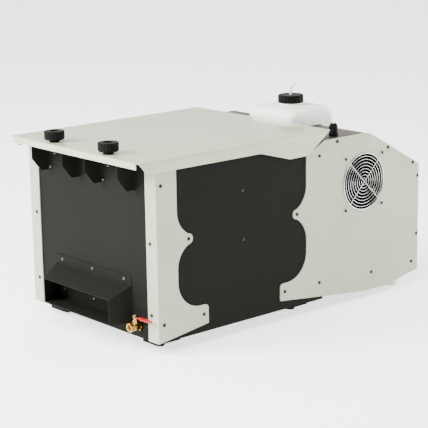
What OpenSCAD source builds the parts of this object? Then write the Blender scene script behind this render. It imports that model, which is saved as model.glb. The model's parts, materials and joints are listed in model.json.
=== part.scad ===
// Low-lying fog machine: an ice chest with a hinged lid, and behind it the housing of the
// fog maker with its fluid tank, fan and controls.
// +Z is up, the fog leaves towards -Y and the fan is on the +X side. Sizes are millimetres.
// Lengths along Y are counted from the front face of the corner columns, and machine()
// moves the whole thing so that the origin lies under the middle of its box.

/* [Chest] */
// Width over the grey side plates
cab_w = 398; // [396:0.5:399]
// Length of the ice chest, from the column face to the back of its bulkhead
chest_len = 421; // [419:0.5:422]
// Height of the base pan's underside over the ground
base_z = 23; // [21:0.5:25]
// Height of the rim that the lid seals on
rim_z = 357; // [355:0.5:358]
// Thickness of the insulation between the liner and the outer sheets
foam_t = 22; // [18:1:24]
// Height of the ice tray's underside
tray_z = 122; // [118:1:140]

/* [Corner plates] */
// Width of a corner column's front strip
column_w = 30.5; // [28:0.5:34]
// Width of the side wing where it is straight
wing_w = 48; // [46:1:50]
// Radius of the two scalloped lobes at each side of the middle nub
lobe_r = 50; // [48:0.5:50]
// Height of the middle nub and of the screw in it
nub_z = 208.7; // [200:0.1:215]
// Height of the wing's lower tab
tab_top = 76.5; // [70:0.5:80]
// Reach of the lower tab from the column's face
tab_y = 119.4; // [116:0.1:124]

/* [Lid] */
// Width of the lid over its side flanges
lid_w = 405.2; // [404:0.2:408]
// Overhang of the lid in front of the columns
lid_overhang = 38.4; // [36:0.2:40]
// Length of the lid
lid_len = 477.2; // [475:0.2:479]
// Height of the lid's top face
lid_top = 364; // [363:0.5:366]
// Depth of the lid's front flange
front_flange = 12.5; // [10:0.5:14]
// Depth of the lid's side flanges
side_flange = 22; // [18:0.5:24]
// Depth of the side flanges at their rear tongues
tongue = 43; // [38:0.5:44]

/* [Housing] */
// Height of the deck that the tank stands in
deck_z = 344.4; // [342:0.2:346]
// End of the level deck
deck_end = 541; // [538:1:545]
// Outer face of the rear panel
rear_y = 702; // [700:0.5:704]
// Height of the side plate's top rear corner
slope_low = 259.5; // [255:0.5:262]

/* [Outlet hood] */
// Width of the hood where it meets the front panel
hood_back_w = 238; // [230:1:242]
// Width of the hood's mouth
hood_mouth_w = 209; // [200:1:214]
// Reach of the hood from the front panel
hood_reach = 43; // [40:0.5:43]
// Height of the hood's floor
hood_floor = 47; // [44:0.5:50]
// Height of the mouth's upper edge
hood_lip = 95.5; // [92:0.5:98]
// Height of the fold under the hood's screw flange
hood_fold = 118; // [116:0.5:120]

/* [Fan] */
// Size of the square fan
fan_size = 120; // [119:0.5:120]
// Distance of the fan's centre behind the columns' face
fan_y = 535; // [530:1:540]
// Height of the fan's centre
fan_z = 246; // [240:1:250]

/* [Tank] */
// Width of the fluid tank
tank_w = 135; // [130:1:136]
// Length of the fluid tank
tank_len = 126; // [120:1:130]
// Height of the tank's shoulder
tank_top = 383; // [378:1:386]
// Outer radius of the tank's cap
cap_r = 26.7; // [25:0.1:28]

/* [Knobs and valve] */
// Diameter of the lid's knobs
knob_d = 39.4; // [34:0.2:40]
// Distance of the knobs from the middle plane
knob_x = 85; // [83:0.5:87]
// Drain valve's distance from the middle plane
valve_x = 141; // [139:0.5:143]
// Height of the drain valve's axis
valve_z = 47; // [46:0.5:50]

/* [Hidden] */

$fn = 48;
eps = 0.01;

// Sheets
plate_t = 2;
sheet_t = 1.5;
run_gap = 0.05;
side_x = cab_w / 2;
plate_x = side_x - plate_t;
sheet_x = plate_x - sheet_t;
panel_y = plate_t;
wall_top = rim_z - 2;

// The box that the origin is centred under
box_front = panel_y - hood_reach;
rear_reach = 5;
box_mid = (box_front + rear_y + rear_reach) / 2;

// Screws: heads stand on the sheet, and shanks end flush with the second sheet behind it
screw_head_r = 3.5;
screw_head_t = 2;
screw_shank_r = 1.8;
screw_hole_r = 2;
shank_len = plate_t + sheet_t - 0.1;
scallop_sum = 423;
column_screw_x = side_x - 19.5;
column_screws = [208.8, 74.2];
wing_screws = [[11.7, 316.5], [nub_y(), nub_z], [107.9, 58], [12.8, 57.2]];
middle_screws = [[209, 278], [209, 184]];
chest_plate_screws = [[410, 315.3], [scallop_sum - nub_y(), nub_z], [315.4, 59.4], [409.8, 59]];
housing_screws = [[459.6, 337.6], [606.6, 306.3], [682.7, 264.5], [698.1, 234.2],
                  [697, 110.4], [682.6, 51.6], [560.2, 51.8]];

// Scalloped edge of the wings, mirrored about the plane y = scallop_sum / 2 on the housing
nub_r = 10;
lobe_gap = 2 * (lobe_r + 4);
foot_lobe_r = 53;
foot_lobe_z = tab_top + foot_lobe_r;
tab_r = 8;
wing_bottom = 39.2;
function nub_y() = wing_w + 26.3;

// Fog outlet: window in the front walls, and the row of screws under it
window_w = 200;
window_low = 77;
window_high = 113;
hood_screw_x = [-98, 0, 98];
hood_screw_z = 127;
frame_screw_z = 67;
hood_t = 1.2;

// Liner
liner_t = 2;
foam_x = sheet_x - sheet_t;
liner_x = foam_x - foam_t;
liner_front = panel_y + plate_t + sheet_t + foam_t;
liner_back = chest_len - plate_t - sheet_t - foam_t;
liner_floor = base_z + sheet_t + 10;
pipe_z = 175;
pipe_r = 9;

// Lid and its hinge
lid_t = 1.5;
lid_under = lid_top - lid_t;
lid_front = -lid_overhang;
lid_rear = lid_front + lid_len;
hinge_y = chest_len + 7;
hinge_pin_r = 2;
knuckle_r = 4;
hinge_len = 360;
knuckles = 12;
knuckle_len = hinge_len / knuckles;

// Brackets and knobs
bracket_w = 101;
bracket_reach = lid_overhang - 2.4;
bracket_screw_x = 42.5;
bracket_screw_z = 308;
knob_y = -16;
stud_r = 4;
stud_low = 341;
neck_r = 9.7;
neck_h = 4.2;
knob_h = 17.1;
knob_recess_r = 8.6;
knob_recess = 4;
flutes = 20;

// Valve
stem_y = -9;
ball_r = 6.4;
ball_seat_r = 6.5;
valve_port_r = 4.2;
valve_socket_r = 5.2;
outlet_y = -24;
socket_len = 8;
tail_r = 6.5;
lever_z = 64.5;
lever_len = 50;

// Housing
cover_low = 258;
floor_path = [[chest_len, 28.7], [541, 14.8], [603, 14.3], [rear_y, 32]];
cover_path = [[rear_y, cover_low], [deck_end, deck_z], [chest_len + 2, deck_z]];
flange_top = 60;

// Tank and the well that it stands in
tank_y = 524;
tank_bottom = 238;
tank_edge_r = 16;
tank_t = 2;
well_gap = 2.5;
cap_low = tank_top + 4;
cap_high = cap_low + 16.2;
thread_r = 22;
neck_bore_r = 19;

// Hose: out of the cap's middle, over in a free arch, and down into the gland
gland_x = 178;
gland_y = 470;
gland_top = deck_z + 26.3;
hose_r = 2;
hose_sides = 8;
hose_rings = 60;
hose_route = [[0, 524, 402], [0, 524, 408], [1.5, 523.5, 414], [6, 522, 420.5],
              [13.5, 520, 426.5], [24, 517, 430.5], [38, 512, 432.5], [55, 507, 432.5],
              [75, 501, 430], [95, 495, 426], [112, 490, 420], [128, 485, 412.5],
              [143, 480, 404], [155, 477, 396.5], [164.5, 474, 390], [172, 472, 383],
              [176.5, 471, 376.5], [178, 470, 369.5], [178, 470, 364], [178, 470, 358]];

// Fan
fan_pitch = 105;
fan_depth = 25;
fan_room = fan_size / 2 + 1;
fan_bore_r = 57.5;
fan_hub_r = 20;
blades = 7;
guard_r = 58.5;
guard_rings = 9;
guard_step = 6.3;
guard_wire = 1.8;

// Controls on the rear panel
display_x = -60;
display_z = 190;
display_w = 96;
display_h = 44;
screen_h = 20;
button_r = 4;
button_depth = 8;
button_x = [-32, -19, -6];
screen_x = [2, 38];
socket_x = [88, 124];
socket_z = 190;
socket_r = 11;
inlet_x = -140;
inlet_z = 100;
inlet_w = 27;
inlet_h = 20;
rocker_x = -85;
rocker_z = 100;
rocker_w = 21;
rocker_h = 27;
rocker_tilt = 8;

// Colours
grey_paint = [0.80, 0.81, 0.78];
black_paint = [0.22, 0.21, 0.20];
deck_paint = [0.36, 0.33, 0.31];
black_plastic = [0.12, 0.12, 0.12];
steel = [0.72, 0.72, 0.72];
brass = [0.78, 0.60, 0.30];

function unit(v) = v / norm(v);
function side_normal(a, b) = let (d = unit(b - a)) [-d[1], d[0]];
function inset_point(p, i, t) =
    let (before = side_normal(p[max(i - 1, 0)], p[max(i - 1, 0) + 1]),
         last = len(p) - 2,
         after = side_normal(p[min(i, last)], p[min(i, last) + 1]))
    p[i] + (before + after) * t / (1 + before * after);

// Catmull-Rom point at parameter u, where each whole number is a point of the path p
function on_path(p, u) =
    let (n = len(p), i = min(floor(u), n - 2), f = u - i,
         a = p[max(i - 1, 0)], b = p[i], c = p[i + 1], d = p[min(i + 2, n - 1)])
    0.5 * (2 * b + (c - a) * f + (2 * a - 5 * b + 4 * c - d) * f * f
           + (3 * b - a - 3 * c + d) * f * f * f);

module machine() {
    translate([0, -box_mid, 0]) children();
}

module both_sides() {
    children();
    mirror([1, 0, 0]) children();
}

module on_left() {
    mirror([1, 0, 0]) children();
}

// A box from its low corner to its high corner
module block(low, high) {
    translate(low) cube(high - low);
}

// An outline in (y, z), extruded from x = at over the thickness t
module side_plate(at, t) {
    translate([at, 0, 0]) rotate([90, 0, 90]) linear_extrude(t) children();
}

// An outline in (x, z), extruded from y = at over the thickness t
module front_plate(at, t) {
    translate([0, at + t, 0]) rotate([90, 0, 0]) linear_extrude(t) children();
}

module rod_x(r, x0, x1) {
    translate([x0, 0, 0]) rotate([0, 90, 0]) cylinder(r = r, h = x1 - x0);
}

module rod_y(r, y0, y1) {
    translate([0, y0, 0]) rotate([-90, 0, 0]) cylinder(r = r, h = y1 - y0);
}

// Holes along X at the (y, z) points of a side's screws
module side_holes(points) {
    for (p = points) translate([0, p[0], p[1]]) rod_x(screw_hole_r, sheet_x - 0.5, side_x + 1);
}

// Holes along Y through the front sheets
module front_hole(x, z, r) {
    translate([x, 0, z]) rod_y(r, -2, panel_y + plate_t + 1);
}

// A sheet bent along a path in (y, z), as thick as t on the path's left, over x0 to x1
module bent_sheet(path, t, x0, x1) {
    inner = [for (i = [len(path) - 1 : -1 : 0]) inset_point(path, i, t)];
    side_plate(x0, x1 - x0) polygon(concat(path, inner));
}

// ---- Chest ----

module base_pan() color(black_paint) machine() {
    back = chest_len - plate_t;
    front = panel_y + plate_t;
    difference() {
        block([-sheet_x, front, base_z], [sheet_x, back, base_z + 14]);
        block([-foam_x, front + sheet_t, base_z + sheet_t], [foam_x, back - sheet_t, base_z + 20]);
    }
}

foot_x = 148;
foot_y = [43, 379];
foot_r = 9;
corner_plate = [42, 57];
corner_plate_x = 149;
corner_plate_y = [45.5, 376.5];
pad_top = 16;
pad_low = 9.5;

// The four corner plates' outline between two heights, drawn in by t
module at_corners(t, low, high) {
    half = corner_plate / 2 - [t, t];
    for (x = [-corner_plate_x, corner_plate_x], y = corner_plate_y)
        block([x - half[0], y - half[1], low], [x + half[0], y + half[1], high]);
}

module corner_plates() color(black_paint) machine() at_corners(0, pad_top, base_z);

// Rubber pads under the plates, each with a round foot
module chest_feet() color(black_plastic) machine() {
    at_corners(0.5, pad_low, pad_top);
    for (x = [-foot_x, foot_x], y = foot_y) translate([x, y, 0]) {
        cylinder(r1 = foot_r - 1.5, r2 = foot_r, h = 3);
        translate([0, 0, 3 - eps]) cylinder(r = foot_r, h = pad_low - 3 + 2 * eps);
    }
}

rear_foot = [172, 652];
rear_foot_r = 9.5;

module rear_feet() color([0.90, 0.87, 0.76]) machine() {
    difference() {
        for (x = [-rear_foot[0], rear_foot[0]]) translate([x, rear_foot[1], 0]) {
            cylinder(r1 = 8, r2 = rear_foot_r, h = 2);
            translate([0, 0, 2 - eps]) cylinder(r = rear_foot_r, h = 40);
        }
        above_path(0);
    }
}

// The space over the housing's floor, where t is the height over the sheet's underside
module above_path(t) {
    path = [for (i = [0 : 3]) inset_point(floor_path, i, t)];
    side_plate(-side_x, cab_w) polygon(concat(path, [[rear_y, 80], [chest_len, 80]]));
}

module front_window(margin) {
    translate([-window_w / 2 - margin, window_low - margin])
        square([window_w + 2 * margin, window_high - window_low + 2 * margin]);
}

module front_panel() color(black_paint) machine() {
    groove = 2.5;
    groove_x = side_x - column_w;
    difference() {
        front_plate(panel_y, plate_t) difference() {
            translate([-plate_x, base_z]) square([2 * plate_x, wall_top - base_z]);
            front_window(0);
        }
        for (x = [-groove_x, groove_x - groove])
            block([x, panel_y - 1, base_z - 1], [x + groove, panel_y + 1.2, wall_top + 1]);
        for (s = [-1, 1], z = column_screws) front_hole(s * column_screw_x, z, screw_hole_r);
        for (s = [-1, 1], t = [-1, 1])
            front_hole(s * knob_x + t * bracket_screw_x, bracket_screw_z, screw_hole_r);
        for (x = hood_screw_x, z = [hood_screw_z, frame_screw_z]) front_hole(x, z, screw_hole_r);
        front_hole(valve_x, valve_z, tail_r + 0.3);
    }
}

module side_panel() {
    difference() {
        block([sheet_x, panel_y + plate_t, base_z], [plate_x, chest_len, wall_top]);
        side_holes(concat(wing_screws, middle_screws, chest_plate_screws));
    }
}

module side_panel_right() color(black_paint) machine() side_panel();
module side_panel_left() color(black_paint) machine() on_left() side_panel();

module bulkhead() color(black_paint) machine() {
    difference() {
        block([-sheet_x, chest_len - plate_t, base_z], [sheet_x, chest_len, wall_top]);
        translate([0, 0, pipe_z]) rod_y(pipe_r + 0.5, chest_len - 5, chest_len + 5);
    }
}

// Rigid foam boards with a small joint between them: the floor, the sides, the back, and the
// front in four boards around the outlet's window
module insulation() color([0.93, 0.92, 0.86]) machine() {
    front = panel_y + plate_t + sheet_t;
    back = chest_len - plate_t - sheet_t;
    joint = 0.3;
    difference() {
        block([-foam_x, front, base_z + sheet_t], [foam_x, back, wall_top]);
        block([-liner_x, liner_front, liner_floor], [liner_x, liner_back, rim_z]);
        front_plate(front - 1, foam_t + 2) front_window(0);
        translate([valve_x, 0, valve_z]) rod_y(tail_r + 1, front - 1, liner_front + 1);
        translate([0, 0, pipe_z]) rod_y(pipe_r + 1, liner_back - 1, back + 1);
        block([-side_x, front - 1, liner_floor - joint], [side_x, back + 1, liner_floor]);
        for (y = [liner_front, liner_back - joint])
            block([-side_x, y, liner_floor - joint], [side_x, y + joint, rim_z]);
        for (z = [window_low - joint, window_high])
            block([-side_x, front - 1, z], [side_x, liner_front + joint, z + joint]);
    }
}

module liner() color([0.86, 0.87, 0.86]) machine() {
    in_x = liner_x - liner_t;
    difference() {
        union() {
            block([-liner_x, liner_front, liner_floor], [liner_x, liner_back, rim_z]);
            block([-plate_x, panel_y, wall_top], [plate_x, chest_len - 0.5, rim_z]);
        }
        block([-in_x, liner_front + liner_t, liner_floor + liner_t],
              [in_x, liner_back - liner_t, rim_z + 1]);
        front_plate(liner_front - 1, liner_t + 2) front_window(0);
        translate([valve_x, 0, valve_z])
            rod_y(tail_r + 0.3, liner_front - 1, liner_front + liner_t + 1);
        translate([0, 0, pipe_z]) rod_y(pipe_r + 0.5, liner_back - 5, liner_back + 1);
    }
}

module ice_tray() color(steel) machine() {
    half_w = liner_x - liner_t - 3;
    front = liner_front + liner_t + 3;
    back = liner_back - liner_t - 3;
    slot = 8;
    pitch = 20;
    rows = 3;
    margin = 18;
    row_len = (back - front - margin) / rows;
    leg = 12;
    difference() {
        block([-half_w, front, tray_z], [half_w, back, tray_z + 2]);
        for (i = [-7 : 7], row = [0 : rows - 1])
            translate([i * pitch - slot / 2, front + margin + row * row_len, tray_z - 1])
                cube([slot, row_len - margin, 4]);
    }
    for (x = [-half_w, half_w - leg], y = [front + 14, back - leg])
        block([x, y, liner_floor + liner_t], [x + leg, y + leg, tray_z + eps]);
}

// ---- Corner columns with their scalloped wings ----

// What the scallops take away, in (y, z)
module scallops() {
    upper = nub_z + lobe_gap / 2;
    lower = nub_z - lobe_gap / 2;
    for (z = [lower, upper]) translate([wing_w + lobe_r, z]) circle(r = lobe_r, $fn = 96);
    translate([wing_w + foot_lobe_r, foot_lobe_z]) circle(r = foot_lobe_r, $fn = 96);
    translate([wing_w, foot_lobe_z]) square([lobe_r, lower - foot_lobe_z]);
}

module nub_and_tab_corner() {
    translate([nub_y(), nub_z]) circle(r = nub_r);
    translate([tab_y - tab_r, tab_top - tab_r]) circle(r = tab_r);
}

module wing_outline() {
    upper = nub_z + lobe_gap / 2;
    lobe_y = wing_w + foot_lobe_r;
    difference() {
        polygon([[0, base_z], [tab_y, wing_bottom], [tab_y, tab_top - tab_r],
                 [tab_y - tab_r, tab_top - tab_r], [tab_y - tab_r, tab_top], [lobe_y, tab_top],
                 [lobe_y, foot_lobe_z], [nub_y(), foot_lobe_z], [nub_y(), upper],
                 [wing_w, upper], [wing_w, wall_top], [0, wall_top]]);
        scallops();
    }
    nub_and_tab_corner();
}

module corner_column() {
    difference() {
        union() {
            side_plate(plate_x, plate_t) wing_outline();
            block([side_x - column_w, 0, base_z], [plate_x + eps, plate_t, wall_top]);
        }
        side_holes(wing_screws);
        for (z = column_screws) front_hole(column_screw_x, z, screw_hole_r);
    }
}

module corner_column_right() color(grey_paint) machine() corner_column();
module corner_column_left() color(grey_paint) machine() on_left() corner_column();

// ---- Outlet hood ----

// The space inside the hood's outer faces, drawn in by a wall thickness t
module hood_volume(t) {
    back = hood_back_w / 2 - t;
    mouth = hood_mouth_w / 2 - t;
    over = t > 0 ? 1 : 0;
    drop = (hood_fold - hood_lip) / hood_reach;
    widen = (back - mouth) / hood_reach;
    front = panel_y - hood_reach - over;
    rear = panel_y + over;
    intersection() {
        translate([0, 0, hood_floor + t]) linear_extrude(hood_fold)
            polygon([[-mouth + over * widen, front], [mouth - over * widen, front],
                     [back + over * widen, rear], [-back - over * widen, rear]]);
        side_plate(-hood_back_w, 2 * hood_back_w)
            polygon([[front, 0], [rear, 0], [rear, hood_fold - t + over * drop],
                     [front, hood_lip - t - over * drop]]);
    }
}

module outlet_hood() color(black_paint) machine() {
    flange_high = 135;
    difference() {
        union() {
            difference() {
                hood_volume(0);
                hood_volume(hood_t);
            }
            block([-hood_back_w / 2, panel_y - hood_t, hood_fold - hood_t],
                  [hood_back_w / 2, panel_y, flange_high]);
        }
        block([-window_w / 2 - 5, panel_y - hood_t - 0.5, hood_fold - 5],
              [window_w / 2 + 5, panel_y + 1, hood_fold - hood_t - 1]);
        for (x = hood_screw_x) front_hole(x, hood_screw_z, screw_hole_r);
    }
}

// ---- Brackets under the lid's overhang, one for each knob ----

module lid_bracket() {
    half = bracket_w / 2;
    low = 301;
    ear_low = 326.5;
    insert_r = 8;
    difference() {
        union() {
            block([-half, panel_y - sheet_t, low], [half, panel_y, rim_z]);
            block([-half, -bracket_reach, rim_z - 2], [half, panel_y, rim_z]);
            for (x = [-half, half - sheet_t]) side_plate(x, sheet_t)
                polygon([[panel_y, low], [-15.5, low], [-bracket_reach, ear_low],
                         [-bracket_reach, rim_z], [panel_y, rim_z]]);
            translate([0, knob_y, rim_z - 14]) cylinder(r = insert_r, h = 13);
        }
        translate([0, knob_y, rim_z - 20]) cylinder(r = stud_r + 1, h = 30);
        for (x = [-bracket_screw_x, bracket_screw_x]) front_hole(x, bracket_screw_z, screw_hole_r);
    }
}

module lid_brackets() color(black_paint) machine() {
    for (x = [-knob_x, knob_x]) translate([x, 0, 0]) lid_bracket();
}

// ---- Lid ----

module lid() color(grey_paint) machine() {
    half = lid_w / 2;
    notch = half - 9.6;
    corner = 3.4;
    // Where the side flanges start to deepen, and the two ends of their tongues
    tongue_y = [252, 327.5, 378];
    tongue_z = lid_top - tongue;
    flange_z = lid_top - side_flange;
    difference() {
        union() {
            translate([0, 0, lid_under]) linear_extrude(lid_t)
                polygon([[-half, lid_front], [half, lid_front], [half, lid_rear - corner],
                         [half - corner, lid_rear], [corner - half, lid_rear],
                         [-half, lid_rear - corner]]);
            block([-notch, lid_front, lid_top - front_flange],
                  [notch, lid_front + lid_t, lid_top - eps]);
            both_sides() side_plate(half - lid_t, lid_t)
                polygon([[lid_front, lid_top - eps], [lid_front + 18, flange_z],
                         [tongue_y[0], flange_z], [tongue_y[1], tongue_z],
                         [tongue_y[2], tongue_z], [lid_rear - corner, lid_top - eps]]);
        }
        for (x = [-knob_x, knob_x])
            translate([x, knob_y, lid_under - 1]) cylinder(r = stud_r + 0.5, h = lid_t + 2);
    }
}

module lid_gasket() color(black_plastic) machine() {
    in_x = liner_x + 4;
    difference() {
        block([4 - plate_x, 8, rim_z], [plate_x - 4, chest_len - 3, lid_under]);
        block([-in_x, 24, rim_z - 1], [in_x, chest_len - 21, lid_under + 1]);
    }
}

module lid_insulation() color([0.93, 0.92, 0.86]) machine() {
    in_x = liner_x - liner_t - 5;
    block([-in_x, liner_front + 8, 345], [in_x, liner_back - 8, lid_under]);
}

// Every second knuckle of the hinge, starting with the first or the second
module knuckle_row(first) {
    gap = 0.4;
    for (i = [first : 2 : knuckles - 1])
        translate([i * knuckle_len - hinge_len / 2, hinge_y, rim_z])
            rod_x(knuckle_r, gap / 2, knuckle_len - gap / 2);
}

module hinge_bore() {
    translate([0, hinge_y, rim_z]) rod_x(hinge_pin_r + run_gap, -hinge_len, hinge_len);
}

module hinge_leaf_fixed() color(steel) machine() {
    half = hinge_len / 2;
    gap = 0.4;
    difference() {
        union() {
            block([-half, chest_len, rim_z - 12], [half, chest_len + sheet_t, rim_z + 1.5]);
            knuckle_row(0);
            for (i = [0 : 2 : knuckles - 1])
                block([i * knuckle_len - half + gap / 2, chest_len + 0.1, rim_z - 1.5],
                      [(i + 1) * knuckle_len - half - gap / 2, hinge_y - 3, rim_z + 1.5]);
        }
        hinge_bore();
    }
}

module hinge_leaf_moving() color(steel) machine() {
    half = hinge_len / 2;
    gap = 0.4;
    leaf_low = lid_under - 1.2;
    difference() {
        union() {
            block([-half, hinge_y - 3, leaf_low], [half, lid_rear - 2, lid_under]);
            knuckle_row(1);
            for (i = [1 : 2 : knuckles - 1])
                block([i * knuckle_len - half + gap / 2, hinge_y - 1.5, rim_z + 3],
                      [(i + 1) * knuckle_len - half - gap / 2, hinge_y + 1.5, leaf_low + eps]);
        }
        hinge_bore();
    }
}

module hinge_pin() color(steel) machine() {
    translate([0, hinge_y, rim_z]) rod_x(hinge_pin_r, -hinge_len / 2 - 1, hinge_len / 2 + 1);
}

// ---- Knobs ----

module knob(x) {
    bottom = lid_top + neck_h;
    top = bottom + knob_h;
    flute_r = 2;
    translate([x, knob_y, 0]) difference() {
        union() {
            translate([0, 0, lid_top]) cylinder(r = neck_r, h = neck_h + 1);
            translate([0, 0, bottom]) cylinder(r1 = knob_d / 2 - 2.5, r2 = knob_d / 2, h = 2.5);
            translate([0, 0, bottom + 2.5 - eps])
                cylinder(r = knob_d / 2, h = knob_h - 3.5 + eps);
            translate([0, 0, top - 1 - eps])
                cylinder(r1 = knob_d / 2, r2 = knob_d / 2 - 1.2, h = 1 + eps);
        }
        for (i = [0 : flutes - 1]) rotate([0, 0, i * 360 / flutes])
            translate([knob_d / 2 + 1.1, 0, bottom - 1]) cylinder(r = flute_r, h = knob_h + 2);
        translate([0, 0, top - knob_recess]) cylinder(r = knob_recess_r, h = knob_recess + 1);
        translate([0, 0, lid_top - 1]) cylinder(r = stud_r, h = 12);
    }
}

module stud(x) {
    translate([x, knob_y, stud_low]) cylinder(r = stud_r, h = lid_top + 11 - stud_low);
}

module knob_left() color(black_plastic) machine() knob(-knob_x);
module knob_right() color(black_plastic) machine() knob(knob_x);
module stud_left() color(steel) machine() stud(-knob_x);
module stud_right() color(steel) machine() stud(knob_x);

// ---- Drain valve, closed while its lever points along the cabinet ----

module at_valve() {
    translate([valve_x, 0, valve_z]) children();
}

module valve_body() color(brass) machine() at_valve() {
    difference() {
        union() {
            rod_y(tail_r, -4, liner_front + 6);
            rod_y(8.2, stem_y - 8, -2.5);
            translate([0, outlet_y, 0]) rotate([-90, 30, 0])
                cylinder(r = 9.2, h = socket_len, $fn = 6);
            translate([0, stem_y, 0]) cylinder(r = 5.4, h = 13);
        }
        rod_y(valve_socket_r, outlet_y - 1, outlet_y + socket_len);
        rod_y(valve_port_r, outlet_y, liner_front + 7);
        translate([0, stem_y, 0]) sphere(r = ball_seat_r);
        translate([0, stem_y, 0]) cylinder(r = 2.5 + run_gap, h = 20);
    }
}

module valve_locknuts() color(brass) machine() at_valve() {
    inner = liner_front + liner_t;
    for (y = [[-2.5, panel_y], [inner, inner + 3.5]]) difference() {
        translate([0, y[0], 0]) rotate([-90, 0, 0]) cylinder(r = 10, h = y[1] - y[0], $fn = 6);
        rod_y(tail_r + run_gap, y[0] - 1, y[1] + 1);
    }
}

module valve_ball() color(steel) machine() at_valve() translate([0, stem_y, 0]) {
    difference() {
        sphere(r = ball_r);
        rod_x(valve_port_r, -10, 10);
    }
    translate([0, 0, 5]) cylinder(r = 2.5, h = 18);
}

module valve_lever() color([0.86, 0.13, 0.12]) machine() at_valve() translate([0, stem_y, 0]) {
    low = lever_z - valve_z;
    difference() {
        translate([0, 0, low]) linear_extrude(1.5) union() {
            circle(r = 7);
            polygon([[0, -4], [10, -4.5], [lever_len - 12, -5], [lever_len - 1, -2],
                     [lever_len, 0], [lever_len - 1, 2], [lever_len - 12, 5], [10, 4.5], [0, 4]]);
        }
        translate([0, 0, low - 1]) cylinder(r = 2.6, h = 4);
    }
}

module valve_stem_nut() color(brass) machine() at_valve() translate([0, stem_y, 0]) {
    difference() {
        translate([0, 0, lever_z + 1.5 - valve_z]) cylinder(r = 4.6, h = 3, $fn = 6);
        cylinder(r = 2.6, h = 30);
    }
}

// ---- Housing ----

module housing_outline() {
    upper = nub_z + lobe_gap / 2;
    front = scallop_sum - wing_w;
    lobe_y = scallop_sum - wing_w - foot_lobe_r;
    nub = scallop_sum - nub_y();
    tab = scallop_sum - tab_y;
    difference() {
        polygon([[tab, 42.5], floor_path[1], floor_path[2], floor_path[3], [rear_y, slope_low],
                 [556, deck_z - 3.3], [deck_end, deck_z], [chest_len + 2, deck_z],
                 [front + 2, 319.7], [front, 318.5], [front, upper], [nub, upper],
                 [nub, foot_lobe_z], [lobe_y, foot_lobe_z], [lobe_y, tab_top],
                 [tab + tab_r, tab_top], [tab + tab_r, tab_top - tab_r], [tab, tab_top - tab_r]]);
        translate([scallop_sum, 0]) mirror([1, 0]) scallops();
    }
    translate([scallop_sum, 0]) mirror([1, 0]) nub_and_tab_corner();
}

module housing_side() {
    difference() {
        side_plate(plate_x, plate_t) housing_outline();
        side_holes(concat(chest_plate_screws, housing_screws));
        children();
    }
}

module housing_side_right() color(grey_paint) machine() {
    housing_side() translate([0, fan_y, fan_z]) {
        rod_x(fan_bore_r, plate_x - 1, side_x + 1);
        for (y = [-1, 1], z = [-1, 1]) translate([0, y * fan_pitch / 2, z * fan_pitch / 2])
            rod_x(2.2, plate_x - 1, side_x + 1);
    }
}

module housing_side_left() color(grey_paint) machine() {
    slot_w = 6;
    slot_h = 70;
    on_left() housing_side() {
        for (i = [-4 : 4])
            block([plate_x - 1, fan_y + i * 13 - slot_w / 2, fan_z - slot_h / 2],
                  [side_x + 1, fan_y + i * 13 + slot_w / 2, fan_z + slot_h / 2]);
    }
}

module deck_cover() color(deck_paint) machine() {
    flange = 16;
    difference() {
        union() {
            bent_sheet(cover_path, sheet_t, -plate_x, plate_x);
            both_sides() bent_sheet(cover_path, flange, sheet_x, plate_x);
        }
        well_block(0, deck_z - 60, deck_z + 10);
        both_sides() side_holes(housing_screws);
        translate([gland_x, gland_y, deck_z - 5]) cylinder(r = 6.5, h = 10);
        block([-side_x, rear_y - sheet_t, 0], [side_x, rear_y + 1, cover_low - 2]);
        block([sheet_x - 1, fan_y - fan_room, fan_z - fan_room],
              [plate_x + 1, fan_y + fan_room, fan_z + fan_room]);
    }
}

// The well's outer box, drawn in by t, between two heights
module well_block(t, low, high) {
    half_w = tank_w / 2 + well_gap + sheet_t - t;
    half_l = tank_len / 2 + well_gap + sheet_t - t;
    block([-half_w, tank_y - half_l, low], [half_w, tank_y + half_l, high]);
}

module tank_well() color(deck_paint) machine() {
    lip = 2;
    low = tank_bottom - sheet_t;
    intersection() {
        difference() {
            well_block(0, low, deck_z + 10);
            well_block(sheet_t, tank_bottom, deck_z + 20);
        }
        side_plate(-side_x, cab_w)
            polygon([[chest_len, low - 1], [chest_len, deck_z + lip], [deck_end, deck_z + lip],
                     cover_path[0] + [0, lip], [rear_y, low - 1]]);
    }
}

module rear_panel() color(black_paint) machine() {
    low = 33;
    flange_depth = 16;
    difference() {
        union() {
            block([-plate_x, rear_y - sheet_t, low], [plate_x, rear_y, cover_low - 2]);
            both_sides() block([sheet_x, rear_y - flange_depth, flange_top + 2],
                               [plate_x, rear_y, 240]);
        }
        both_sides() side_holes(housing_screws);
        block([display_x - 40, rear_y - 5, display_z - 16],
              [display_x + 40, rear_y + 1, display_z + 16]);
        for (x = socket_x) translate([x, 0, socket_z])
            rod_y(socket_r + 0.3, rear_y - 5, rear_y + 1);
        rear_cutout(inlet_x, inlet_z, inlet_w + 3, inlet_h + 3);
        rear_cutout(rocker_x, rocker_z, rocker_w + 3, rocker_h + 3);
        for (i = [0 : 11]) rear_cutout(10 + i * 12, 95, 5, 60);
        for (p = rear_screws) translate([p[0], 0, p[1]])
            rod_y(screw_hole_r, rear_y - 5, rear_y + 1);
    }
}

module rear_cutout(x, z, w, h) {
    block([x - w / 2, rear_y - 5, z - h / 2], [x + w / 2, rear_y + 1, z + h / 2]);
}

// Where the screws of the rear controls are, in (x, z), and how thick their flanges are
display_flange = 3;
socket_flange = 2;
inlet_flange = 2.5;
display_screws = [for (x = [-1, 1], z = [-1, 1])
    [display_x + x * (display_w / 2 - 4), display_z + z * (display_h / 2 - 4)]];
socket_screws = [for (x = socket_x, s = [-1, 1]) [x + s * 9.5, socket_z - s * 12]];
inlet_screws = [for (s = [-1, 1]) [inlet_x + s * 20, inlet_z]];
rear_screws = concat(display_screws, socket_screws, inlet_screws);

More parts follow.
